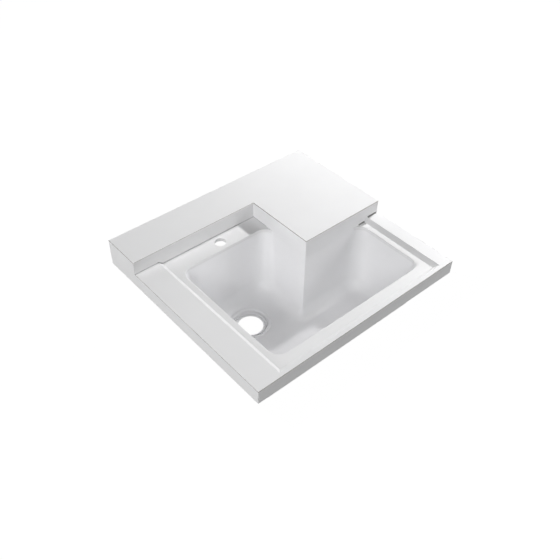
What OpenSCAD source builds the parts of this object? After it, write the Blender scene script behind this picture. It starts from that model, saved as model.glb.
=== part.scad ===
// Countertop basin with a raised L-shaped platform, for a laundry or utility cabinet.
// A moulded bowl is bonded under a recessed deck. Boards of the same sheet, mitred at
// every outer arris, make the side faces, the rims and the hollow platform.
// The origin is the middle of the rectangle that the basin covers, under the bowl.
// +X is to the right, +Y to the back and +Z up. Sizes are in millimetres.

/* [Counter] */
// Width of the counter from side to side
top_w = 660; // [640:5:760]
// Depth of the counter from front to back
top_d = 600; // [590:5:660]
// Height of the counter's outer edge
edge_h = 40; // [34:1:60]
// Thickness of the solid sheet that the boards are cut from
sheet_t = 10; // [8:0.5:12]
// Rounding of every outer arris
arris_r = 2; // [1:0.5:3]

/* [Raised platform] */
// Height of the platform above the rim
platform_h = 38; // [30:1:60]
// Depth of the platform's strip along the back
strip_d = 116; // [90:1:125]
// Width of the platform's block at the back right
block_w = 273; // [220:1:300]
// Depth of the platform's block, from the back edge
block_d = 330; // [280:1:350]
// Thickness of the ribs inside the platform
rib_t = 10; // [8:1:16]

/* [Rim and deck] */
// Width of the flat rim on the left
rim_left_w = 71; // [55:1:74]
// Width of the flat rim on the right
rim_right_w = 39; // [24:1:42]
// Width of the flat rim along the front
rim_front_w = 12; // [11:1:18]
// Length in plan of the ramp from the rim down to the deck
ramp_run = 12; // [8:1:14]
// Diameter of the tap hole
tap_d = 32; // [28:1:38]
// Distance of the tap hole from the left side
tap_x = 249; // [160:1:320]

/* [Bowl] */
// Distance of the bowl's lip from the left side
lip_left = 100; // [98:1:130]
// Distance of the bowl's lip from the right side
lip_right = 67; // [64:1:90]
// Distance of the bowl's lip from the front
lip_front = 52; // [52:1:80]
// Width of the tap deck, from the bowl's lip to the platform's strip
tap_deck_d = 56; // [48:1:70]
// Depth of the bowl's floor below the rim
bowl_depth = 216; // [160:1:260]
// Thickness of the bowl's walls
wall_t = 9; // [7:0.5:12]
// Thickness of the bowl's floor
floor_t = 16; // [15:1:24]
// Lean of the bowl's walls, in degrees
draft = 3; // [1:0.5:5]
// Plan radius of the bowl's corners at the lip
corner_r = 32; // [24:1:44]
// How much that radius grows from the lip to the foot of the wall
corner_grow = 16; // [10:1:24]
// Radius between the walls and the floor
fillet_r = 40; // [20:1:44]
// Rounding of the bowl's lip
lip_r = 3; // [1:0.5:4]
// Width of the flange that is bonded under the deck, from the lip
flange_w = 20; // [16:1:22]
// Thickness of that flange
flange_t = 8; // [6:1:12]

/* [Waste outlet] */
// Diameter of the waste bore
drain_d = 72; // [60:1:76]
// Width of the ledge round the bore that the waste's flange sits on
ledge_w = 7; // [5:0.5:10]
// Depth of the ledge below the bowl's floor
ledge_drop = 8; // [6:0.5:9]
// Rounding from the bowl's floor down into the recess
recess_r = 7; // [3:0.5:7]
// Distance of the bore from the bowl's back lip
drain_back = 103; // [98:1:150]

/* [Battens] */
// Width of the battens under the edges of the deck
batten_w = 18; // [12:1:18]

/* [Hidden] */

// Heights above the underside of the bowl
rim_z = bowl_depth + floor_t;
deck_z = rim_z - sheet_t;
under_deck_z = deck_z - sheet_t;
under_edge_z = rim_z - edge_h;
top_z = rim_z + platform_h;
slab_under_z = top_z - sheet_t;

// Faces of the platform, measured from the front left corner of the counter
strip_y = top_d - strip_d;
block_y = top_d - block_d;
block_x = top_w - block_w;

// Lip of the bowl, an L that wraps round the block
lip_x0 = lip_left;
lip_x1 = top_w - lip_right;
lip_y0 = lip_front;
lip_y2 = strip_y - tap_deck_d;
tap_y = (lip_y2 + strip_y) / 2;

// Waste outlet, in the middle of the bowl's left part
drain_x = (lip_x0 + block_x) / 2;
drain_y = lip_y2 - drain_back;
ledge_z = floor_t - ledge_drop;
ledge_r = drain_d / 2 + ledge_w;

// Steps of an arc in the moulded bowl
arc_steps = 8;
// Overrun of a cutting shape past the face that it cuts
over = 1;
bore_fn = 96;

solid_white = [0.93, 0.93, 0.94];
bowl_white = [0.90, 0.90, 0.92];
inner_grey = [0.80, 0.80, 0.80];

// Moves a piece from the counter's front left corner to the middle of its plan
module from_corner() {
  translate([-top_w / 2, -top_d / 2, 0]) children();
}

// Points of an arc
function arc(cx, cy, r, a0, a1) =
  [for (k = [0 : arc_steps])
    let (a = a0 + (a1 - a0) * k / arc_steps)
    [cx + r * cos(a), cy + r * sin(a)]];

// L-shaped outline of the bowl, drawn in by one distance on its outer sides and by
// another where the block pushes into it. Its five outer corners have one radius, and
// the block's corner has another.
function bowl_outline(draw_in, block_in, outer_r, block_r) =
  let (
    x0 = lip_x0 + draw_in, x1 = lip_x1 - draw_in, x2 = block_x - block_in,
    y0 = lip_y0 + draw_in, y1 = block_y - block_in, y2 = lip_y2 - draw_in,
    q = outer_r, b = block_r
  )
  concat(
    arc(x0 + q, y0 + q, q, 180, 270),
    arc(x1 - q, y0 + q, q, 270, 360),
    arc(x1 - q, y1 - q, q, 0, 90),
    arc(x2 + b, y1 + b, b, 270, 180),
    arc(x2 - q, y2 - q, q, 0, 90),
    arc(x0 + q, y2 - q, q, 90, 180));

function at_height(z, outline) = [for (p = outline) [p[0], p[1], z]];

// Distance that a leaning wall has drawn in at a height
function lean_in(z) = (under_deck_z - z) * tan(draft);

// Levels of one side of the bowl's wall, from its top to its foot: a leaning stretch,
// then a rounded foot. Out is how far this side lies outside the bowl's inner face. The
// block's corner stays crisp down the leaning stretch and only opens out in the foot.
function wall_levels(wall_top_z, foot_z, foot_r, out) =
  let (
    start_z = foot_z + foot_r * (1 - sin(draft)),
    start_in = lean_in(start_z) - out,
    top_in = lean_in(wall_top_z) - out,
    wall_r = corner_r + out
  )
  concat(
    [at_height(wall_top_z, bowl_outline(top_in, top_in, wall_r, max(arris_r, out / 3)))],
    [for (k = [0 : arc_steps])
      let (
        a = draft + (90 - draft) * k / arc_steps,
        draw_in = start_in + foot_r * (cos(draft) - cos(a)),
        foot_corner = wall_r + corner_grow - (draw_in - start_in)
      )
      at_height(foot_z + foot_r * (1 - sin(a)),
                bowl_outline(draw_in, draw_in, max(foot_corner, arris_r),
                             max(arris_r + draw_in - start_in, out / 3)))]);

function reversed(list) = [for (k = [len(list) - 1 : -1 : 0]) list[k]];

// Solid through a stack of outlines, which has the solid inside it where it runs down
// and outside it where it runs up. Both caps start at the front left corner, which sees
// every other point of the L, so that no triangle of a cap crosses another.
module loft(levels) {
  n = len(levels[0]);
  last = len(levels) - 1;
  sides = [for (k = [0 : last - 1]) for (j = [0 : n - 1])
    let (a = k * n + j, b = k * n + (j + 1) % n)
    each [[a, b, b + n], [a, b + n, a + n]]];
  first_cap = [for (j = [n : -1 : 1]) j % n];
  last_cap = [for (j = [0 : n - 1]) last * n + j];
  polyhedron(points = [for (level = levels) each level], faces = concat([first_cap], sides, [last_cap]));
}

// The moulded bowl, one shell: up its inside, over the flange and down its outside
module bowl() {
  flange_z = under_deck_z - flange_t;
  flange = bowl_outline(-flange_w, -flange_w, corner_r + flange_w, arris_r);
  inside = reversed(wall_levels(under_deck_z, floor_t, fillet_r, 0));
  outside = wall_levels(flange_z, 0, fillet_r + wall_t, wall_t);
  color(bowl_white) from_corner() difference() {
    loft(concat(inside, [at_height(under_deck_z, flange), at_height(flange_z, flange)], outside));
    waste_outlet();
  }
}

// Recess, ledge and bore of the waste outlet
module waste_outlet() {
  translate([drain_x, drain_y, 0]) {
    rotate_extrude($fn = bore_fn)
      polygon(concat(
        [[0, ledge_z], [ledge_r, ledge_z]],
        arc(ledge_r + recess_r, floor_t - recess_r, recess_r, 180, 90),
        [[ledge_r + recess_r, floor_t + over], [0, floor_t + over]]));
    translate([0, 0, -over]) cylinder(ledge_z + 2 * over, d = drain_d, $fn = bore_fn);
  }
}

// Cut-out of the deck round the bowl. Its lip is rounded except along the block, whose
// faces run straight down into the bowl.
module lip_opening() {
  lip = [for (k = [arc_steps : -1 : 0])
    let (a = 90 * k / arc_steps, out = lip_r * (1 - cos(a)))
    at_height(deck_z - lip_r * (1 - sin(a)), bowl_outline(-out, 0, corner_r + out, arris_r))];
  above = bowl_outline(-lip_r, 0, corner_r + lip_r, arris_r);
  below = bowl_outline(0, 0, corner_r, arris_r);
  loft(concat([at_height(deck_z + over, above)], lip, [at_height(under_deck_z - over, below)]));
}

module deck_panel() {
  color(solid_white) from_corner() difference() {
    translate([sheet_t, sheet_t, under_deck_z])
      cube([top_w - 2 * sheet_t, top_d - 2 * sheet_t, sheet_t]);
    lip_opening();
    translate([tap_x, tap_y, under_deck_z - over])
      cylinder(sheet_t + 2 * over, d = tap_d, $fn = bore_fn);
  }
}

// A board that stands on edge with its outer face on y = 0. It is mitred at the top, and
// at each end by 1 for an outer corner or -1 for an inner corner.
module board(length, height, left_mitre, right_mitre) {
  intersection() {
    linear_extrude(height)
      polygon([[0, 0], [length, 0],
               [length - right_mitre * sheet_t, sheet_t], [left_mitre * sheet_t, sheet_t]]);
    translate([-sheet_t, 0, 0]) rotate([90, 0, 90])
      linear_extrude(length + 2 * sheet_t)
        polygon([[0, 0], [sheet_t, 0], [sheet_t, height - sheet_t], [0, height]]);
  }
}

// Side faces of the counter, whose boards step up where the platform is
module left_boards() {
  translate([0, top_d, under_edge_z]) rotate([0, 0, -90]) {
    board(top_d, edge_h, 1, 1);
    board(strip_d, edge_h + platform_h, 1, 1);
  }
}

module right_boards() {
  translate([top_w, 0, under_edge_z]) rotate([0, 0, 90]) {
    board(top_d, edge_h, 1, 1);
    translate([block_y, 0, 0]) board(block_d, edge_h + platform_h, 1, 1);
  }
}

module back_board() {
  translate([top_w, top_d, under_edge_z]) rotate([0, 0, 180])
    board(top_w, edge_h + platform_h, 1, 1);
}

module front_board() {
  translate([0, 0, under_edge_z]) board(top_w, edge_h, 1, 1);
}

module outer_boards() {
  left_boards();
  right_boards();
  back_board();
  front_board();
}

// Upright faces of the platform, which stand on the deck
module platform_front_board() {
  translate([0, strip_y, deck_z]) board(block_x, top_z - deck_z, 1, -1);
}

module block_left_board() {
  translate([block_x, strip_y, deck_z]) rotate([0, 0, -90])
    board(strip_y - block_y, top_z - deck_z, -1, 1);
}

module block_front_board() {
  translate([block_x, block_y, deck_z]) board(block_w, top_z - deck_z, 1, 1);
}

// What rounding takes from a square corner at the origin
module corner_waste() {
  difference() {
    translate([-over, -over]) square(arris_r + over);
    translate([arris_r, arris_r]) circle(arris_r, $fn = 32);
  }
}

// The same along a level edge that starts at the origin and runs to +X, with the piece
// behind it and below it
module level_waste(length) {
  rotate([90, 0, 90]) linear_extrude(length) mirror([0, 1]) corner_waste();
}

// Level arrises, each as its start, its direction and its length
rim_arrises = [
  [[0, 0, rim_z], 0, top_w],
  [[0, strip_y, rim_z], -90, strip_y],
  [[top_w, 0, rim_z], 90, block_y]];
platform_arrises = [
  [[0, strip_y, top_z], 0, block_x],
  [[block_x, strip_y, top_z], -90, strip_y - block_y],
  [[block_x, block_y, top_z], 0, block_w],
  [[top_w, block_y, top_z], 90, block_d],
  [[top_w, top_d, top_z], 180, top_w],
  [[0, top_d, top_z], -90, strip_d]];
// Upright arrises, each as its foot, the turn of its corner and its top
upright_arrises = [
  [[0, 0, under_edge_z], 0, rim_z],
  [[top_w, 0, under_edge_z], 90, rim_z],
  [[top_w, top_d, under_edge_z], 180, top_z],
  [[0, top_d, under_edge_z], -90, top_z],
  [[0, strip_y, rim_z], 0, top_z],
  [[block_x, block_y, deck_z], 0, top_z],
  [[top_w, block_y, rim_z], 90, top_z]];

// Rounds the outer arrises of the piece that it is given
module rounded() {
  difference() {
    children();
    for (e = concat(rim_arrises, platform_arrises))
      translate(e[0]) rotate([0, 0, e[1]]) level_waste(e[2]);
    for (e = upright_arrises)
      translate(e[0]) rotate([0, 0, e[1]]) linear_extrude(e[2] - e[0][2]) corner_waste();
    translate([block_x, strip_y, top_z]) intersection() {
      level_waste(arris_r);
      translate([0, arris_r, 0]) rotate([0, 0, -90]) level_waste(arris_r);
    }
  }
}

module left_side() {
  color(solid_white) from_corner() rounded() left_boards();
}

module right_side() {
  color(solid_white) from_corner() rounded() right_boards();
}

module back_side() {
  color(solid_white) from_corner() rounded() back_board();
}

module front_edge() {
  color(solid_white) from_corner() rounded() front_board();
}

module platform_front() {
  color(solid_white) from_corner() rounded() difference() {
    platform_front_board();
    left_boards();
  }
}

module block_left_panel() {
  color(solid_white) from_corner() rounded() block_left_board();
}

module block_front_panel() {
  color(solid_white) from_corner() rounded() difference() {
    block_front_board();
    right_boards();
  }
}

// Slab under the platform's top face, mitred on its four sides
module mitred_slab(x0, x1, y0, y1) {
  intersection() {
    rotate([90, 0, 90]) linear_extrude(top_w)
      polygon([[y0, top_z], [y0 + sheet_t, slab_under_z], [y1 - sheet_t, slab_under_z], [y1, top_z]]);
    translate([0, top_d, 0]) rotate([90, 0, 0]) linear_extrude(top_d)
      polygon([[x0, top_z], [x0 + sheet_t, slab_under_z], [x1 - sheet_t, slab_under_z], [x1, top_z]]);
  }
}

// Space in front of the strip and left of the block, with the same mitre down its sides
module mitred_step() {
  above = top_z + over;
  below = slab_under_z - over;
  intersection() {
    translate([-over, 0, 0]) rotate([90, 0, 90]) linear_extrude(top_w)
      polygon([[0, below], [strip_y + top_z - below, below], [strip_y - over, above], [0, above]]);
    translate([0, top_d, 0]) rotate([90, 0, 0]) linear_extrude(top_d)
      polygon([[-over, below], [block_x + top_z - below, below], [block_x - over, above], [-over, above]]);
  }
}

// L-shaped top of the platform, mitred to the boards that carry it
module platform_top() {
  color(solid_white) from_corner() rounded() difference() {
    mitred_slab(0, top_w, block_y, top_d);
    mitred_step();
  }
}

// Space over the recessed deck, with its ramps up to the rim
ramp_left_x = rim_left_w + ramp_run;
ramp_right_x = top_w - rim_right_w - ramp_run;
ramp_front_y = rim_front_w + ramp_run;

module deck_recess() {
  intersection() {
    translate([0, top_d, 0]) rotate([90, 0, 0]) linear_extrude(top_d)
      polygon([[ramp_left_x, deck_z], [ramp_right_x, deck_z],
               [top_w - rim_right_w, rim_z], [top_w - rim_right_w, rim_z + over],
               [rim_left_w, rim_z + over], [rim_left_w, rim_z]]);
    rotate([90, 0, 90]) linear_extrude(top_w)
      polygon([[ramp_front_y, deck_z], [top_d, deck_z], [top_d, rim_z + over],
               [rim_front_w, rim_z + over], [rim_front_w, rim_z]]);
  }
}

// A strip of the rim, cut from the sheet to an outline and let in between its neighbours
module rim_strip(outline) {
  color(solid_white) from_corner() rounded() difference() {
    translate([0, 0, deck_z]) linear_extrude(sheet_t) polygon(outline);
    deck_recess();
    outer_boards();
  }
}

// Ends of the mitres between the rim strips, at the front and at the deck
mitre_left = [[rim_left_w - rim_front_w, 0], [ramp_left_x, ramp_front_y]];
mitre_right = [[top_w - rim_right_w + rim_front_w, 0], [ramp_right_x, ramp_front_y]];

module rim_left() {
  rim_strip([[0, 0], mitre_left[0], mitre_left[1], [ramp_left_x, strip_y], [0, strip_y]]);
}

module rim_front() {
  rim_strip([mitre_left[0], mitre_right[0], mitre_right[1], mitre_left[1]]);
}

module rim_right() {
  rim_strip([mitre_right[0], [top_w, 0], [top_w, block_y], [ramp_right_x, block_y], mitre_right[1]]);
}

// A batten under the deck, just inside the side boards
module batten(x, y, width, depth) {
  color(inner_grey) from_corner()
    translate([x, y, under_edge_z]) cube([width, depth, under_deck_z - under_edge_z]);
}

inner_w = top_w - 2 * sheet_t;
inner_d = top_d - 2 * sheet_t;

module batten_front() {
  batten(sheet_t, sheet_t, inner_w, batten_w);
}

module batten_back() {
  batten(sheet_t, top_d - sheet_t - batten_w, inner_w, batten_w);
}

module batten_left() {
  batten(sheet_t, sheet_t + batten_w, batten_w, inner_d - 2 * batten_w);
}

module batten_right() {
  batten(top_w - sheet_t - batten_w, sheet_t + batten_w, batten_w, inner_d - 2 * batten_w);
}

// A rib that carries the middle of the platform's top from the deck
module rib(middle_x, y, depth) {
  color(inner_grey) from_corner()
    translate([middle_x - rib_t / 2, y, deck_z]) cube([rib_t, depth, slab_under_z - deck_z]);
}

module strip_rib() {
  rib((sheet_t + block_x) / 2, strip_y + sheet_t, strip_d - 2 * sheet_t);
}

module block_rib() {
  rib(block_x + block_w / 2, block_y + sheet_t, block_d - 2 * sheet_t);
}

bowl();
deck_panel();
rim_left();
rim_front();
rim_right();
platform_top();
platform_front();
block_left_panel();
block_front_panel();
left_side();
right_side();
back_side();
front_edge();
batten_left();
batten_right();
batten_front();
batten_back();
strip_rib();
block_rib();
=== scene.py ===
# %% [markdown]
# # A countertop basin, dressed for looks
#
# The basin is one bonded piece of white solid surface, which is stone powder in a clear
# resin. Its boards are sawn from 10 mm sheet, mitred, glued and sanded flush. Its bowl
# is moulded from the same stuff; its white is painted a little lighter than the boards',
# for the brighter light inside the bowl. The imported model gives every board where it
# belongs, and this lesson dresses it: smooth pieces where the model has facets, the
# finishes, the bond lines, painted shade at the platform's foot, the camera and the light.

# %% Load the imported model
import math

import bmesh
import bpy
from mathutils import Matrix, Vector


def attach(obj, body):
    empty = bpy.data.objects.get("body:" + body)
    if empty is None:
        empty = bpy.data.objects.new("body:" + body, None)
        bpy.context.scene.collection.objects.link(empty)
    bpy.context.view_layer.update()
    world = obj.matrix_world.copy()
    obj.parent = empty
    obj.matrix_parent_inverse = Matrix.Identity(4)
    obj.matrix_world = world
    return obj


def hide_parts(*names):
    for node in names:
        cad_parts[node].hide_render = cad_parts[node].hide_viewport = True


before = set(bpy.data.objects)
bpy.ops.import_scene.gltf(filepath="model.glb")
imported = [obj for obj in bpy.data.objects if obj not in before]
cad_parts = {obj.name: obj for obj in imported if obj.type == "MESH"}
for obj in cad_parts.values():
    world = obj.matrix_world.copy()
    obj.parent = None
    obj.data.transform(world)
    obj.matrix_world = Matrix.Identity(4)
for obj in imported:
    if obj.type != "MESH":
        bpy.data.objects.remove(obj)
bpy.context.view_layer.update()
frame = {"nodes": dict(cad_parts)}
NODES = frame["nodes"]

# %% [markdown]
# ## The camera
#
# The view was found first. Twenty-three straight edges of the basin were fitted at once,
# which gives the place, the turn and the lens together. A small roll is part of it. The
# fit counts from the middle of a pixel, so the frame is shifted by half of one. The
# position is in metres, in the model's frame.

# %% Which way the camera is turned
CAMERA_AZIMUTH = math.radians(-42.328)
CAMERA_HEIGHT_ANGLE = math.radians(43.501)
CAMERA_ROLL = math.radians(1.648)


def camera_turn(azimuth, height_angle, roll):
    """Rotation of a camera that looks at the basin from this side."""
    back = Vector((
        math.sin(azimuth) * math.cos(height_angle),
        -math.cos(azimuth) * math.cos(height_angle),
        math.sin(height_angle),
    ))
    right = Vector((0, 0, 1)).cross(back).normalized()
    up = back.cross(right)
    rolled_right = right * math.cos(roll) + up * math.sin(roll)
    rolled_up = up * math.cos(roll) - right * math.sin(roll)
    return Matrix((rolled_right, rolled_up, back)).transposed()


turned = camera_turn(CAMERA_AZIMUTH, CAMERA_HEIGHT_ANGLE, CAMERA_ROLL)
print("the camera looks along", [round(-v, 3) for v in turned.col[2]])

# %% Place the camera
IMAGE_PIXELS = 560
SENSOR_MM = 36
FOCAL_PIXELS = 712.06
CAMERA_PLACE = Vector((-0.9352, -1.0251, 1.4618))
HALF_PIXEL = 0.5 / IMAGE_PIXELS

camera_data = bpy.data.cameras.new("camera")
camera_data.sensor_width = SENSOR_MM
camera_data.lens = SENSOR_MM * FOCAL_PIXELS / IMAGE_PIXELS
camera_data.shift_x = -HALF_PIXEL
camera_data.shift_y = HALF_PIXEL
camera = bpy.data.objects.new("camera", camera_data)
bpy.context.scene.collection.objects.link(camera)
camera.rotation_mode = "QUATERNION"
camera.rotation_quaternion = turned.to_quaternion()
camera.location = CAMERA_PLACE
bpy.context.scene.camera = camera
print("lens:", round(camera_data.lens, 2), "mm")

# %% [markdown]
# ## Two helpers
#
# The first turns a bmesh into a finished piece of the basin: merged, facing outwards,
# smooth but for its sharp edges, and riding with the basin. Weighted normals keep its
# flats looking flat beside small roundings. The second starts a node material and gives
# a short way to add nodes to it.

# %% A finished piece from a bmesh
MERGE_REACH = 1e-6
SHARP_FROM = math.radians(35)


def finish_piece(bm, name, material, replaced=()):
    """A piece of the basin from a bmesh, smooth, outward and riding with the basin."""
    bmesh.ops.remove_doubles(bm, verts=bm.verts[:], dist=MERGE_REACH)
    bmesh.ops.recalc_face_normals(bm, faces=bm.faces[:])
    open_edges = sum(1 for e in bm.edges if len(e.link_faces) != 2)
    mesh = bpy.data.meshes.new(name)
    bm.to_mesh(mesh)
    bm.free()
    mesh.shade_smooth()
    mesh.set_sharp_from_angle(angle=SHARP_FROM)
    mesh.materials.append(material)
    piece = bpy.data.objects.new(name, mesh)
    bpy.context.scene.collection.objects.link(piece)
    even = piece.modifiers.new("even_shading", "WEIGHTED_NORMAL")
    even.keep_sharp = True
    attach(piece, "root")
    if replaced:
        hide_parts(*replaced)
    print(name, "faces:", len(mesh.polygons), "open edges:", open_edges)
    return piece


print("edges stay sharp from", round(math.degrees(SHARP_FROM)), "degrees")

# %% A node material
def new_material(name):
    """A node material, its tree, and a short way to add nodes to it."""
    material = bpy.data.materials.new(name)
    material.use_nodes = True
    tree = material.node_tree

    def add(kind, **values):
        node = tree.nodes.new(kind)
        for key, value in values.items():
            if hasattr(node, key):
                setattr(node, key, value)
            else:
                node.inputs[key.replace("_", " ")].default_value = value
        return node

    return material, tree, add


# %% [markdown]
# ## Solid surface, sanded
#
# Sanded solid surface looks plain white from a step away. Close by it isn't flat: the
# stone powder gives a faint grain, whole sheets drift a little in tone, and the random
# orbit of the sander leaves soft patches of more and less shine. Those three are noise
# at three scales on Object coordinates, so that they lie in the stuff and run across
# bonds as they do on a real top. The fine grain also lifts the surface by a hair.

# %% Steps that the finishes share
WHITEST = 0.94


def shade(colour, factor):
    """A colour made darker or lighter, but never whiter than the whitest."""
    return tuple(min(c * factor, WHITEST) for c in colour) + (1.0,)


def on_object(tree, texture):
    """Lays a texture on Object coordinates, and gives its pattern."""
    place = tree.nodes.new("ShaderNodeTexCoord")
    tree.links.new(place.outputs["Object"], texture.inputs["Vector"])
    return texture.outputs["Fac"]


def colour_between(tree, add, pattern, dark, light):
    """Colours the surface between two tones, as the pattern says."""
    tone = add("ShaderNodeMix", data_type="RGBA")
    tone.inputs["A"].default_value = dark
    tone.inputs["B"].default_value = light
    base_colour = tree.nodes["Principled BSDF"].inputs["Base Color"]
    tree.links.new(pattern, tone.inputs["Factor"])
    tree.links.new(tone.outputs["Result"], base_colour)


def lift_surface(tree, add, pattern, strength, height):
    """Lifts the surface where the pattern is light, by a height in metres."""
    lift = add("ShaderNodeBump", Strength=strength, Distance=height)
    tree.links.new(pattern, lift.inputs["Height"])
    tree.links.new(lift.outputs["Normal"], tree.nodes["Principled BSDF"].inputs["Normal"])


print("no finish is whiter than", WHITEST)

# %% Solid surface in nodes
GRAIN_SHARE = 0.35
CLOUD_SHARE = 0.65
SHINIER_BY = 0.05
DULLER_BY = 0.06
RESIN_IOR = 1.5


def solid_surface(name, white, roughness, grain_size, grain_height, drift, specular):
    """Stone powder in resin: grain and drift in its tone, and patches in its shine."""
    material, tree, add = new_material(name)
    link = tree.links.new
    shader = tree.nodes["Principled BSDF"]
    grain = on_object(tree, add(
        "ShaderNodeTexNoise", Scale=1 / grain_size, Detail=3.0, Roughness=0.6,
    ))
    cloud = on_object(tree, add(
        "ShaderNodeTexNoise", Scale=9.0, Detail=2.0, Roughness=0.5,
    ))
    swirl = on_object(tree, add(
        "ShaderNodeTexNoise", Scale=46.0, Detail=4.0, Roughness=0.55, Distortion=0.8,
    ))

    cloud_part = add("ShaderNodeMath", operation="MULTIPLY")
    cloud_part.inputs[1].default_value = CLOUD_SHARE
    mixed = add("ShaderNodeMath", operation="MULTIPLY_ADD")
    mixed.inputs[1].default_value = GRAIN_SHARE
    blend = add("ShaderNodeMapRange", From_Min=0.3, From_Max=0.7)
    link(cloud, cloud_part.inputs[0])
    link(grain, mixed.inputs[0])
    link(cloud_part.outputs["Value"], mixed.inputs[2])
    link(mixed.outputs["Value"], blend.inputs["Value"])
    dark = shade(white, 1 - drift)
    light = shade(white, 1 + drift / 2)
    colour_between(tree, add, blend.outputs["Result"], dark, light)

    shine = add(
        "ShaderNodeMapRange", From_Min=0.25, From_Max=0.75,
        To_Min=roughness - SHINIER_BY, To_Max=roughness + DULLER_BY,
    )
    link(swirl, shine.inputs["Value"])
    link(shine.outputs["Result"], shader.inputs["Roughness"])
    lift_surface(tree, add, grain, 0.25, grain_height)
    shader.inputs["IOR"].default_value = RESIN_IOR
    shader.inputs["Specular IOR Level"].default_value = specular
    return material


# %% Finish of the boards and the bowl
board_finish = solid_surface(
    "sanded_board", white=(0.86, 0.86, 0.865), roughness=0.45,
    grain_size=0.0016, grain_height=0.00004, drift=0.02, specular=0.2,
)
# The bowl is the boards' stuff, but its white is painted lighter, for the brighter light
# inside the bowl.
bowl_finish = solid_surface(
    "satin_bowl", white=(0.92, 0.92, 0.93), roughness=0.34,
    grain_size=0.006, grain_height=0.00002, drift=0.012, specular=0.5,
)
print("finishes:", board_finish.name, bowl_finish.name)

# %% [markdown]
# ### Which node gets which finish
#
# The battens and ribs underneath are off-cuts. Nobody sands those, so they stay matt and
# a shade greyer, with fine lines of the saw. The block's two upright faces run down into
# the bowl as one surface, so they share the bowl's finish, and with it the bowl's white,
# which is painted lighter for the brighter light inside the bowl.

# %% Finish of the off-cuts, and a finish for every node
OFFCUT_DARKER = 0.93


def sawn_offcut(name, colour):
    """Sawn edges of the sheet: matt, a shade greyer, with fine lines of the saw."""
    material, tree, add = new_material(name)
    lines = on_object(tree, add(
        "ShaderNodeTexWave", Scale=160.0, Distortion=3.0, Detail=3.0,
        bands_direction="DIAGONAL",
    ))
    grain = on_object(tree, add("ShaderNodeTexNoise", Scale=300.0, Detail=4.0))
    colour_between(tree, add, grain, shade(colour, OFFCUT_DARKER), shade(colour, 1))
    lift_surface(tree, add, lines, 0.4, 0.0001)
    tree.nodes["Principled BSDF"].inputs["Roughness"].default_value = 0.7
    return material


offcut_finish = sawn_offcut("sawn_offcut", (0.74, 0.74, 0.73))
HIDDEN_NODES = (
    "batten_left", "batten_right", "batten_front", "batten_back",
    "strip_rib", "block_rib",
)
FLUSH_NODES = ("block_left_panel", "block_front_panel")
finish_of_node = dict.fromkeys(NODES, board_finish)
finish_of_node.update(dict.fromkeys(HIDDEN_NODES, offcut_finish))
finish_of_node.update(dict.fromkeys(FLUSH_NODES, bowl_finish))
for node_name, finish in finish_of_node.items():
    for node_slot in NODES[node_name].material_slots:
        node_slot.material = finish
print("nodes with a finish:", len(finish_of_node))

# %% [markdown]
# ## The moulded bowl
#
# The bowl is a moulded shell with an L-shaped plan: it wraps round the block that
# carries the platform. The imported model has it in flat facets, so it is made again,
# smooth. One way is to bevel a solid L, but its corners open out from 32 mm at the lip
# to 48 mm at the foot, and a bevel has one width. So each level is an L of six points
# whose corners are bevelled to that level's radius, and the levels are bridged.
# Sizes are in millimetres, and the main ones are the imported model's own.

# %% Where the bowl's opening lies in the counter
MM = 0.001
TOP_WIDTH = 660
TOP_DEPTH = 600
LIP_LEFT = 100
LIP_RIGHT = 593
LIP_FRONT = 52
LIP_BACK = 428
BLOCK_X = 387
BLOCK_Y = 270
DECK_Z = 222
UNDER_DECK_Z = 212
FLOOR_Z = 16


def from_corner(x, y, z):
    """A point given from the counter's front left corner, in millimetres."""
    return Vector(((x - TOP_WIDTH / 2) * MM, (y - TOP_DEPTH / 2) * MM, z * MM))


print("opening:", LIP_RIGHT - LIP_LEFT, "by", LIP_BACK - LIP_FRONT, "mm")
print("from the deck down to the floor:", DECK_Z - FLOOR_Z, "mm")

# %% [markdown]
# ### One level of the bowl
#
# A vertex bevel turns a corner of a flat face into an arc. Five corners of the L get
# one radius and the block's corner another. Only the outline is wanted, so the face is
# taken away and its edges stay.

# %% An L with bevelled corners
CORNER_SEGMENTS = 12


def round_corners(bm, corners, radius, segments):
    """Bevels single vertices into arcs of this radius."""
    bmesh.ops.bevel(
        bm, geom=corners, offset=radius * MM, offset_type="OFFSET", profile=0.5,
        segments=segments, affect="VERTICES", material=-1,
    )


def l_loop(bm, draw_in, block_in, outer_r, block_r, z):
    """Edges of an L drawn in on its outer sides and at the block, with round corners."""
    x0, x1, x2 = LIP_LEFT + draw_in, LIP_RIGHT - draw_in, BLOCK_X - block_in
    y0, y1, y2 = LIP_FRONT + draw_in, BLOCK_Y - block_in, LIP_BACK - draw_in
    plan = [(x0, y0), (x1, y0), (x1, y1), (x2, y1), (x2, y2), (x0, y2)]
    before = set(bm.faces)
    points = [bm.verts.new(from_corner(x, y, z)) for x, y in plan]
    bm.faces.new(points)
    at_block = points.pop(3)
    round_corners(bm, [at_block], block_r, CORNER_SEGMENTS)
    round_corners(bm, points, outer_r, CORNER_SEGMENTS)
    face = next(f for f in bm.faces if f not in before)
    edges = face.edges[:]
    bmesh.ops.delete(bm, geom=[face], context="FACES_ONLY")
    return edges


def bridge(bm, loops):
    """Joins a stack of level outlines, each to the next."""
    for upper, lower in zip(loops, loops[1:]):
        bmesh.ops.bridge_loops(bm, edges=upper + lower)


print("each corner is an arc of", CORNER_SEGMENTS, "segments")

# %% [markdown]
# ### The leaning wall and its round foot
#
# A moulded wall leans, so that the bowl comes out of its mould, and turns into the floor
# in a round foot. The levels of the foot stand at even steps of that turn. The wall's
# outer side has the same form, further out by the thickness of the wall. The block's
# corner stays crisp down the leaning stretch, with an arris of 2 mm inside and a third
# of the wall's thickness outside, and opens out only in the foot.

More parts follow.
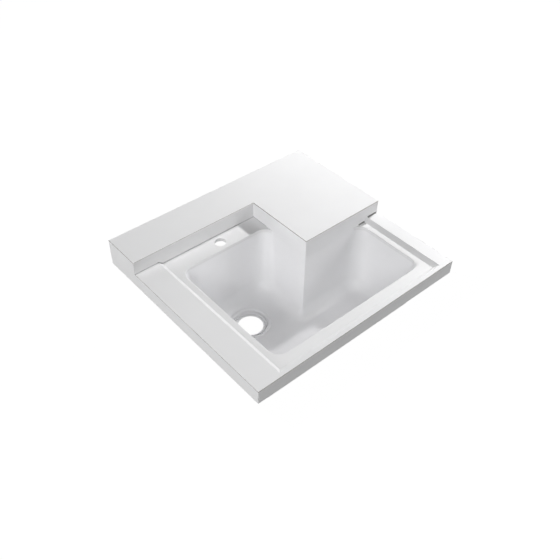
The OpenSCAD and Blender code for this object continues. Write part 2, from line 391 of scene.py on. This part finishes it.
# %% Levels of one side of the wall
DRAFT = math.radians(3)
CORNER_R = 32
CORNER_GROW = 16
ARRIS_R = 2
WALL_PER_ARRIS = 3
FOOT_STEPS = 16


def lean_in(z):
    """How far the bowl's leaning wall has drawn in at a height."""
    return (UNDER_DECK_Z - z) * math.tan(DRAFT)


def wall_loops(bm, top_z, foot_z, foot_r, out):
    """Outlines of one side of the wall from its top to its foot, this far outside."""
    start_z = foot_z + foot_r * (1 - math.sin(DRAFT))
    start_in = lean_in(start_z) - out
    top_in = lean_in(top_z) - out
    wall_r = CORNER_R + out
    crisp_r = max(ARRIS_R, out / WALL_PER_ARRIS)
    loops = [l_loop(bm, top_in, top_in, wall_r, crisp_r, top_z)]
    for step in range(FOOT_STEPS + 1):
        turn = DRAFT + (math.pi / 2 - DRAFT) * step / FOOT_STEPS
        draw_in = start_in + foot_r * (math.cos(DRAFT) - math.cos(turn))
        outer_r = wall_r + CORNER_GROW - (draw_in - start_in)
        block_r = max(ARRIS_R + draw_in - start_in, crisp_r)
        z = foot_z + foot_r * (1 - math.sin(turn))
        loops.append(l_loop(bm, draw_in, draw_in, outer_r, block_r, z))
    return loops


print("the wall leans in by", round(math.degrees(DRAFT)), "degrees")

# %% [markdown]
# ### The waste outlet
#
# The outlet is turned, so its section is spun: a low bead on the floor that shows as a
# bright ring, a groove inside it that shows as a dark one, the upright of the recess,
# the ledge for the flange of a waste, and the bore, which flares at its foot. The
# section is a few points, and bevels round its corners before the spin. The bead, the
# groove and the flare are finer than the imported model, which has a plain recess.

# %% A section that is bevelled, then spun
ROUNDING_SEGMENTS = 6
SPIN_STEPS = 96


def spun(bm, centre, section):
    """Spins a section of points, each a radius, a height and how far it is rounded."""
    before = set(bm.verts)
    points = [bm.verts.new(centre + Vector((r * MM, 0, z * MM))) for r, z, _ in section]
    for pair in zip(points, points[1:]):
        bm.edges.new(pair)
    for point, (_, _, rounding) in zip(points, section):
        if rounding:
            round_corners(bm, [point], rounding, ROUNDING_SEGMENTS)
    wire = [v for v in bm.verts if v not in before]
    wire += list(dict.fromkeys(e for v in wire for e in v.link_edges))
    bmesh.ops.spin(
        bm, geom=wire, cent=centre, axis=(0, 0, 1), angle=2 * math.pi, steps=SPIN_STEPS,
        use_merge=True, use_duplicate=False,
    )
    print("spun a section of", len(section), "points in", SPIN_STEPS, "steps")


# %% The section of the outlet
DRAIN = from_corner(243.5, 325, 0)
DRAIN_R = 36
BORE_FLARE = 7
LEDGE_R = 43
LEDGE_Z = 8
LEDGE_FALL = 0.5
RECESS_CHAMFER = 1
GROOVE_R = 46.5
GROOVE_HALF = 1
GROOVE_DEPTH = 4
BEAD_R = 55
BEAD_HEIGHT = 3
RIM_R = 60
OUTLET = (
    (RIM_R, FLOOR_Z, 0),
    (BEAD_R, FLOOR_Z + BEAD_HEIGHT, 1.2),
    (GROOVE_R + 2 * GROOVE_HALF, FLOOR_Z, 0.5),
    (GROOVE_R + GROOVE_HALF, FLOOR_Z - GROOVE_DEPTH, 0.4),
    (GROOVE_R - GROOVE_HALF, FLOOR_Z - GROOVE_DEPTH, 0.4),
    (LEDGE_R + RECESS_CHAMFER, FLOOR_Z - RECESS_CHAMFER, 0.5),
    (LEDGE_R, LEDGE_Z + LEDGE_FALL, 0.8),
    (DRAIN_R, LEDGE_Z, 0.3),
    (DRAIN_R, BORE_FLARE, 0),
    (DRAIN_R + BORE_FLARE, 0, 0),
)

bowl_bm = bmesh.new()
spun(bowl_bm, DRAIN, OUTLET)

# %% [markdown]
# ### One closed shell
#
# The inside, the flange that is glued under the deck, and the outside are three stacks of
# levels. Four flats join them to each other and to the outlet. Each flat is an outline
# with a hole in it, and a triangle fill closes such a shape in one step.

# %% Find a circle of edges
RADIUS_REACH = 2e-5
LEVEL_REACH = 1e-6


def ring(bm, centre, radius, z):
    """Edges of the circle of this radius and height round a centre."""
    def on_ring(vert):
        flat = Vector((vert.co.x - centre.x, vert.co.y - centre.y))
        off_circle = abs(flat.length - radius * MM)
        off_level = abs(vert.co.z - z * MM)
        return off_circle < RADIUS_REACH and off_level < LEVEL_REACH
    return [e for e in bm.edges if all(on_ring(v) for v in e.verts)]


recess_rim = ring(bowl_bm, DRAIN, RIM_R, FLOOR_Z)
bore_foot = ring(bowl_bm, DRAIN, DRAIN_R + BORE_FLARE, 0)
print("edges round the recess:", len(recess_rim), "and round the bore:", len(bore_foot))

# %% Inside, flange, outside and the flats between them
WALL = 9
FILLET_R = 40
FLANGE_WIDTH = 20
FLANGE_THICK = 8

flange_r = CORNER_R + FLANGE_WIDTH
flange_z = UNDER_DECK_Z - FLANGE_THICK
inside = wall_loops(bowl_bm, UNDER_DECK_Z, FLOOR_Z, FILLET_R, 0)
flange = [
    l_loop(bowl_bm, -FLANGE_WIDTH, -FLANGE_WIDTH, flange_r, ARRIS_R, z)
    for z in (UNDER_DECK_Z, flange_z)
]
outside = wall_loops(bowl_bm, flange_z, 0, FILLET_R + WALL, WALL)
for stack in (inside, flange, outside):
    bridge(bowl_bm, stack)
flats = (
    (inside[0], flange[0]),
    (flange[1], outside[0]),
    (inside[-1], recess_rim),
    (outside[-1], bore_foot),
)
for outline, hole in flats:
    bmesh.ops.triangle_fill(bowl_bm, use_beauty=True, edges=outline + hole)
    print("flat between", len(outline), "and", len(hole), "edges")
bowl = finish_piece(bowl_bm, "bowl_shell", bowl_finish, ["bowl"])

# %% [markdown]
# ## The deck
#
# The deck is a sheet with two holes. Its opening follows the bowl, and its lip is
# rolled over by 2 mm where hands and buckets pass, a little tighter than on the packed
# model, but runs straight down along the block. The flat top and bottom are filled
# between their outlines and the holes.

# %% The tap hole and the rolled lip
TAP = from_corner(249, 456, 0)
TAP_R = 16
TAP_EDGE = 0.4
TAP_RING_R = 18
LIP_R = 2
LIP_STEPS = 8

deck_bm = bmesh.new()
spun(deck_bm, TAP, (
    (TAP_RING_R, DECK_Z, 0),
    (TAP_R, DECK_Z, TAP_EDGE),
    (TAP_R, UNDER_DECK_Z, TAP_EDGE),
    (TAP_RING_R, UNDER_DECK_Z, 0),
))
lip = []
for step in range(LIP_STEPS + 1):
    turn = math.pi / 2 * (1 - step / LIP_STEPS)
    out = LIP_R * (1 - math.cos(turn))
    z = DECK_Z - LIP_R * (1 - math.sin(turn))
    lip.append(l_loop(deck_bm, -out, 0, CORNER_R + out, ARRIS_R, z))
lip.append(l_loop(deck_bm, 0, 0, CORNER_R, ARRIS_R, UNDER_DECK_Z))
bridge(deck_bm, lip)
print("levels of the lip:", len(lip))

# %% The sheet round them
SHEET = 10


def sheet_outline(bm, z):
    """Edges of the deck's rectangle, just inside the side boards."""
    left, right = SHEET, TOP_WIDTH - SHEET
    front, back = SHEET, TOP_DEPTH - SHEET
    plan = [(left, front), (right, front), (right, back), (left, back)]
    points = [bm.verts.new(from_corner(x, y, z)) for x, y in plan]
    return [bm.edges.new((points[k - 1], points[k])) for k in range(4)]


top_outline = sheet_outline(deck_bm, DECK_Z)
under_outline = sheet_outline(deck_bm, UNDER_DECK_Z)
bridge(deck_bm, [top_outline, under_outline])
faces_to_fill = (
    (DECK_Z, top_outline, lip[0]),
    (UNDER_DECK_Z, under_outline, lip[-1]),
)
for z, outline, opening in faces_to_fill:
    hole = ring(deck_bm, TAP, TAP_RING_R, z)
    bmesh.ops.triangle_fill(deck_bm, use_beauty=True, edges=outline + opening + hole)
deck = finish_piece(deck_bm, "deck_sheet", board_finish, ["deck_panel"])

# %% [markdown]
# ### The cut edge along the block
#
# The sheet's cut edge shows between the block's upright faces and the bowl's wall under
# them. All three are sanded as one face, so the cut edge has the bowl's finish too, with
# its white painted lighter.

# %% Finish of the cut edge
CUT_EDGE_REACH = 1.5
UPRIGHT = 0.1

block_corner = from_corner(BLOCK_X, BLOCK_Y, 0)
deck.data.materials.append(bowl_finish)
cut_faces = 0
for face in deck.data.polygons:
    past = (face.center - block_corner) / MM
    on_block = min(past.x, past.y) > -CUT_EDGE_REACH
    near_it = min(abs(past.x), abs(past.y)) < CUT_EDGE_REACH
    if on_block and near_it and abs(face.normal.z) < UPRIGHT:
        face.material_index = 1
        cut_faces += 1
print("faces of the cut edge:", cut_faces)

# %% [markdown]
# ## Bond lines, and painted shade at the platform's foot
#
# The boards meet in mitres along every top arris, and the glue shows there as a thin
# grey brown line. It lies flush in the rounded arris, so it is a ribbon bent to that
# radius: a short arc, given a little thickness and drawn out along the edge. Where the
# platform stands on the counter, a grey wedge in the corner is painted shade, the shadow
# along the platform's foot. It is painted darker where the sloped edges of the rims run
# into the platform and along the block's front, where that shadow is deepest.

# %% Glue, and painted shade at the platform's foot
DUSTY = 0.7
CLEAN = 1.5


def glue_and_painted_shade(name, colour):
    """A matt line, uneven in tone along its length: dusty glue, and painted shade."""
    material, tree, add = new_material(name)
    patches = on_object(tree, add(
        "ShaderNodeTexNoise", Scale=38.0, Detail=3.0, Roughness=0.6,
    ))
    colour_between(tree, add, patches, shade(colour, DUSTY), shade(colour, CLEAN))
    tree.nodes["Principled BSDF"].inputs["Roughness"].default_value = 0.6
    return material


glue = glue_and_painted_shade("glue_and_painted_shade", (0.24, 0.22, 0.19))
# Painted shade: a grey for the shadow along the platform's foot, and a near black where
# that shadow is deepest.
grey_painted_shade = glue_and_painted_shade("grey_painted_shade", (0.52, 0.52, 0.53))
dark_painted_shade = glue_and_painted_shade("dark_painted_shade", (0.17, 0.17, 0.17))
print("glues:", glue.name, grey_painted_shade.name, dark_painted_shade.name)

# %% A profile drawn out along an edge
def drawn_out(bm, profile, direction):
    """Closes a profile with a face and draws it out into a solid."""
    face = bm.faces.new(profile)
    grown = bmesh.ops.extrude_face_region(bm, geom=[face])["geom"]
    far = [part for part in grown if isinstance(part, bmesh.types.BMVert)]
    bmesh.ops.translate(bm, vec=direction, verts=far)


# %% The profiles of a glue ribbon and of a wedge of painted shade
GLUE_AND_SHADE_THICK = 0.15
GLUE_PROUD = 0.03
GLUE_STEPS = 4
UP = Vector((0, 0, 1))
FRONT = Vector((0, -1, 0))
BACK = Vector((0, 1, 0))
LEFT = Vector((-1, 0, 0))
RIGHT = Vector((1, 0, 0))


def glue_ribbon(bm, start, end, outward, width):
    """A ribbon flush in the rounded arris between two corners of a board."""
    centre = start - (outward + UP) * ARRIS_R * MM
    half = width / ARRIS_R / 2
    profile = []
    for radius, sweep in ((ARRIS_R + GLUE_PROUD, 1), (ARRIS_R - GLUE_AND_SHADE_THICK, -1)):
        for step in range(GLUE_STEPS + 1):
            turn = math.pi / 4 + sweep * half * (2 * step / GLUE_STEPS - 1)
            lift = outward * math.cos(turn) + UP * math.sin(turn)
            profile.append(bm.verts.new(centre + lift * radius * MM))
    drawn_out(bm, profile, end - start)


def painted_shade_wedge(bm, start, end, outward, leg):
    """A three-cornered wedge of painted shade where an upright face stands on a level one.
    """
    corner = start - (outward + UP) * GLUE_AND_SHADE_THICK * MM
    reach = (leg + GLUE_AND_SHADE_THICK) * MM
    corners = (corner, corner + outward * reach, corner + UP * reach)
    drawn_out(bm, [bm.verts.new(point) for point in corners], end - start)


print("glue stands proud by", GLUE_PROUD, "mm")

# %% Ribbons in the arrises
RIM_Z = 232
TOP_Z = 270
STRIP_Y = 484

# Each ribbon has its start, its end, its height, the side it faces and its width.
RIBBONS = (
    ((0, STRIP_Y), (0, TOP_DEPTH), TOP_Z, LEFT, 1.0),
    ((0, STRIP_Y), (BLOCK_X, STRIP_Y), TOP_Z, FRONT, 0.7),
    ((BLOCK_X, BLOCK_Y), (BLOCK_X, STRIP_Y), TOP_Z, LEFT, 1.4),
    ((BLOCK_X, BLOCK_Y), (TOP_WIDTH, BLOCK_Y), TOP_Z, FRONT, 1.2),
    ((TOP_WIDTH, BLOCK_Y), (TOP_WIDTH, TOP_DEPTH), TOP_Z, RIGHT, 0.7),
    ((0, TOP_DEPTH), (TOP_WIDTH, TOP_DEPTH), TOP_Z, BACK, 0.7),
    ((0, 0), (0, STRIP_Y), RIM_Z, LEFT, 0.6),
    ((0, 0), (TOP_WIDTH, 0), RIM_Z, FRONT, 1.2),
    ((TOP_WIDTH, 0), (TOP_WIDTH, BLOCK_Y), RIM_Z, RIGHT, 0.6),
)
glue_bm = bmesh.new()
for (x0, y0), (x1, y1), z, outward, width in RIBBONS:
    glue_ribbon(glue_bm, from_corner(x0, y0, z), from_corner(x1, y1, z), outward, width)
finish_piece(glue_bm, "bond_lines", glue)

# %% Wedges of painted shade at the platform's foot
RIM_LEFT = 71
RIM_RIGHT = 621
RAMP = 12
RIM_OVERLAP = 2
END_INSET = 6

# Each wedge of painted shade has its start, its end, the side it faces and how far it
# reaches.
GREY_SHADE_WEDGES = (
    ((0, STRIP_Y, RIM_Z), (RIM_LEFT, STRIP_Y, RIM_Z), FRONT, 1.8),
    ((RIM_LEFT + RAMP, STRIP_Y, DECK_Z), (BLOCK_X, STRIP_Y, DECK_Z), FRONT, 2.2),
    ((BLOCK_X, LIP_BACK, DECK_Z), (BLOCK_X, STRIP_Y, DECK_Z), LEFT, 1.6),
)
# Darker painted shade, where the shadow at the foot is deepest: where the rims' sloped
# edges run into the platform, and along the block's front.
DARK_SHADE_WEDGES = (
    (
        (RIM_LEFT - RIM_OVERLAP, STRIP_Y, RIM_Z),
        (RIM_LEFT + RAMP, STRIP_Y, DECK_Z), FRONT, 2.8,
    ),
    (
        (LIP_RIGHT - END_INSET, BLOCK_Y, DECK_Z),
        (RIM_RIGHT - RAMP, BLOCK_Y, DECK_Z), FRONT, 2.8,
    ),
    (
        (RIM_RIGHT, BLOCK_Y, RIM_Z),
        (TOP_WIDTH - END_INSET, BLOCK_Y, RIM_Z), FRONT, 3.2,
    ),
)
for name, shade_wedges, shade_finish in (
    ("grey_shade_wedges", GREY_SHADE_WEDGES, grey_painted_shade),
    ("dark_shade_wedges", DARK_SHADE_WEDGES, dark_painted_shade),
):
    shade_bm = bmesh.new()
    for start, end, outward, leg in shade_wedges:
        painted_shade_wedge(shade_bm, from_corner(*start), from_corner(*end), outward, leg)
    finish_piece(shade_bm, name, shade_finish)

# %% [markdown]
# ## Light
#
# The tones of the photograph were read at a hundred places on the basin, and the basin
# was rendered under one lamp at a time. Light adds up, so a least squares fit then gave
# the strength of each lamp. The key light is small, because the block's shadow on the
# tap deck has a crisp edge, and that edge and the patch of light on the bowl's floor
# also tell where the key light stands. The others are large and soft. One of them, high
# on the right, is linked to the bowl and the block's faces, which go down into it: it
# lifts the floor of the bowl without washing out the counter.

# %% A round lamp
LIGHT_TARGET = Vector((0, 0, 0.2))


def disk_lamp(name, azimuth, height_angle, distance, size, watts):
    """A round lamp at this direction from the basin, turned towards it."""
    turn = math.radians(azimuth)
    lift = math.radians(height_angle)
    away = Vector((
        math.cos(lift) * math.sin(turn),
        -math.cos(lift) * math.cos(turn),
        math.sin(lift),
    ))
    data = bpy.data.lights.new(name, "AREA")
    data.shape = "DISK"
    data.size = size
    data.energy = watts
    lamp = bpy.data.objects.new(name, data)
    bpy.context.scene.collection.objects.link(lamp)
    lamp.location = LIGHT_TARGET + away * distance
    lamp.rotation_mode = "QUATERNION"
    lamp.rotation_quaternion = away.to_track_quat("Z", "Y")
    print(name, [round(v, 2) for v in lamp.location], watts, "W")
    return lamp


# %% Lamps round the basin
# Each lamp has its name, azimuth, height angle, distance, size and watts.
LAMPS = (
    ("key_light", 99.9, 38.9, 2.42, 0.16, 43),
    ("back_right_soft", 135, 15, 2.6, 1.1, 19.5),
    ("back_left_low", 225, 6, 2.6, 0.8, 12.5),
    ("left_soft", 270, 20, 2.6, 1.1, 12.5),
    ("front_left_soft", 300, 35, 2.6, 1.1, 18.5),
    ("front_low_soft", 315, 25, 2.6, 1.1, 6),
    ("front_right_soft", 45, 20, 2.6, 1.1, 13.5),
    ("bowl_fill", 90, 60, 2.6, 1.1, 10.2),
)
lamps = {values[0]: disk_lamp(*values) for values in LAMPS}

# %% The fill light reaches only the bowl and the block's faces
lit_by_fill = bpy.data.collections.new("lit_by_bowl_fill")
for piece in [bowl] + [NODES[name] for name in FLUSH_NODES]:
    lit_by_fill.objects.link(piece)
lamps["bowl_fill"].light_linking.receiver_collection = lit_by_fill

# %% [markdown]
# ## A scrim over the bowl
#
# The key light would burn a patch as bright as the deck into the bowl's floor, and the
# near lip would be lost against it. A photographer holds a scrim, which is a fine net,
# into the beam there. This one hangs just over the basin. Its edges lie where the beam
# passes on its way to the left end of the patch, the right and the near lip, and the
# block's top edge, so it shades only the bowl. It lets a part of the light through.
# Neither the camera nor a reflection sees it, and shadow linking takes it out of the way
# of the soft lamps.

# %% Sheets of the stage
HALF_METRE = 0.5


def stage_sheet(name, width, depth, material, place=Matrix()):
    """A flat sheet of the stage: a grid one metre wide, scaled and put in place."""
    bm = bmesh.new()
    bmesh.ops.create_grid(bm, x_segments=1, y_segments=1, size=HALF_METRE)
    bmesh.ops.scale(bm, vec=(width, depth, 1), verts=bm.verts[:])
    bmesh.ops.transform(bm, matrix=place, verts=bm.verts[:])
    mesh = bpy.data.meshes.new(name)
    bm.to_mesh(mesh)
    bm.free()
    mesh.materials.append(material)
    sheet = bpy.data.objects.new(name, mesh)
    bpy.context.scene.collection.objects.link(sheet)
    print("stage:", name, round(width, 3), "by", round(depth, 3), "m")
    return sheet


def show(tree, shader_socket):
    """Makes a shader the material's surface."""
    tree.links.new(shader_socket, tree.nodes["Material Output"].inputs["Surface"])


# %% Net between the key light and the bowl's floor
SCRIM_Z = 285
SCRIM_PASS = 0.5
PATCH_LEFT = (LIP_LEFT + 20, 150, FLOOR_Z)
RIGHT_LIP = (LIP_RIGHT - 1, 150, DECK_Z)
NEAR_LIP = (300, LIP_FRONT + 2, DECK_Z)
BLOCK_TOP = (500, BLOCK_Y - 1, TOP_Z)
key_place = lamps["key_light"].location


def on_scrim(x, y, z):
    """Where the scrim's level meets the beam that goes to this point."""
    point = from_corner(x, y, z)
    return point.lerp(key_place, (SCRIM_Z * MM - point.z) / (key_place.z - point.z))


scrim_left, scrim_right = on_scrim(*PATCH_LEFT).x, on_scrim(*RIGHT_LIP).x
scrim_near, scrim_far = on_scrim(*NEAR_LIP).y, on_scrim(*BLOCK_TOP).y
scrim_middle = Vector((
    (scrim_left + scrim_right) / 2, (scrim_near + scrim_far) / 2, SCRIM_Z * MM,
))
net, net_tree, add_net = new_material("scrim_net")
thread = add_net("ShaderNodeBsdfTransparent", Color=(SCRIM_PASS, SCRIM_PASS, SCRIM_PASS, 1))
show(net_tree, thread.outputs["BSDF"])
scrim = stage_sheet(
    "scrim", scrim_right - scrim_left, scrim_far - scrim_near, net,
    Matrix.Translation(scrim_middle),
)
scrim.visible_camera = False
scrim.visible_diffuse = False
scrim.visible_glossy = False
scrim.visible_transmission = False
print("the scrim lets through", SCRIM_PASS)

# %% The scrim dims the key light alone
only_key = bpy.data.collections.new("scrim_for_the_key_light")
only_key.objects.link(scrim)
only_key.collection_objects[0].light_linking.link_state = "EXCLUDE"
for name, lamp in lamps.items():
    if name != "key_light":
        lamp.light_linking.blocker_collection = only_key
print("lamps that pass by the scrim:", len(lamps) - 1)

# %% [markdown]
# ## A white background
#
# The photograph is cut out on pure white. The floor and the surroundings are white to
# the camera and in reflections, but give hardly any light, so that the lamps alone set
# the tones. The floor keeps a faint shadow of the basin.

# %% White for the camera and for reflections
def seen_directly(tree):
    """A socket that is 1 for camera, glossy and transmission rays, and 0 for others."""
    rays = tree.nodes.new("ShaderNodeLightPath")
    total = rays.outputs["Is Camera Ray"]
    for ray_kind in ("Is Glossy Ray", "Is Transmission Ray"):
        either = tree.nodes.new("ShaderNodeMath")
        either.operation = "MAXIMUM"
        tree.links.new(total, either.inputs[0])
        tree.links.new(rays.outputs[ray_kind], either.inputs[1])
        total = either.outputs["Value"]
    return total


world = bpy.data.worlds.new("studio")
bpy.context.scene.world = world
world.use_nodes = True
surroundings = world.node_tree.nodes["Background"]
surroundings.inputs["Color"].default_value = (1, 1, 1, 1)
world.node_tree.links.new(seen_directly(world.node_tree), surroundings.inputs["Strength"])
bpy.context.scene.view_settings.view_transform = "Standard"
print("the surroundings are white to the camera")

# %% A pale floor that keeps a faint shadow
FLOOR_SIZE = 12
FLOOR_TONE = 0.25
FLOOR_SEEN = 0.99
WHITE_SHARE = 0.9

floor_pale, floor_tree, add_floor = new_material("pale_floor")
matt = floor_tree.nodes["Principled BSDF"]
matt.inputs["Base Color"].default_value = (FLOOR_TONE, FLOOR_TONE, FLOOR_TONE, 1)
matt.inputs["Roughness"].default_value = 0.9
share = add_floor("ShaderNodeMath", operation="MULTIPLY")
share.inputs[1].default_value = WHITE_SHARE
glow = add_floor("ShaderNodeEmission", Strength=FLOOR_SEEN / WHITE_SHARE)
floor_mix = add_floor("ShaderNodeMixShader")
floor_tree.links.new(seen_directly(floor_tree), share.inputs[0])
floor_tree.links.new(share.outputs["Value"], floor_mix.inputs["Fac"])
floor_tree.links.new(matt.outputs["BSDF"], floor_mix.inputs[1])
floor_tree.links.new(glow.outputs["Emission"], floor_mix.inputs[2])
show(floor_tree, floor_mix.outputs["Shader"])
stage_sheet("floor", FLOOR_SIZE, FLOOR_SIZE, floor_pale)

# %% [markdown]
# ## The strip of white card
#
# A bowl this deep shows its outside under the counter's front edge from up here, but the
# photograph is cut out along that edge. The bowl stays whole, as on the real basin, and
# a strip of white card leans out from the edge instead, to give the same cut. It is
# part of the stage: only the camera sees it, it throws no shadow, and from its underside
# it is clear, so that in level views from the front the bowl shows.

# %% Card along the counter's front edge
CARD_LEAN = math.radians(25)
CARD_WIDTH = 0.14
CARD_LENGTH = 0.68
CARD_GAP = 0.5
UNDER_EDGE_Z = 192

card_white, card_tree, add_card = new_material("card_white")
side = add_card("ShaderNodeNewGeometry")
bright = add_card("ShaderNodeEmission")
clear = add_card("ShaderNodeBsdfTransparent")
card_mix = add_card("ShaderNodeMixShader")
card_tree.links.new(side.outputs["Backfacing"], card_mix.inputs["Fac"])
card_tree.links.new(bright.outputs["Emission"], card_mix.inputs[1])
card_tree.links.new(clear.outputs["BSDF"], card_mix.inputs[2])
show(card_tree, card_mix.outputs["Shader"])

edge_middle = from_corner(TOP_WIDTH / 2, -CARD_GAP, UNDER_EDGE_Z - CARD_GAP)
lean = Matrix.Rotation(-CARD_LEAN, 4, "X") @ Matrix.Translation((0, -CARD_WIDTH / 2, 0))
card = stage_sheet(
    "front_card", CARD_LENGTH, CARD_WIDTH, card_white,
    Matrix.Translation(edge_middle) @ lean,
)
card.visible_diffuse = False
card.visible_glossy = False
card.visible_transmission = False
card.visible_shadow = False
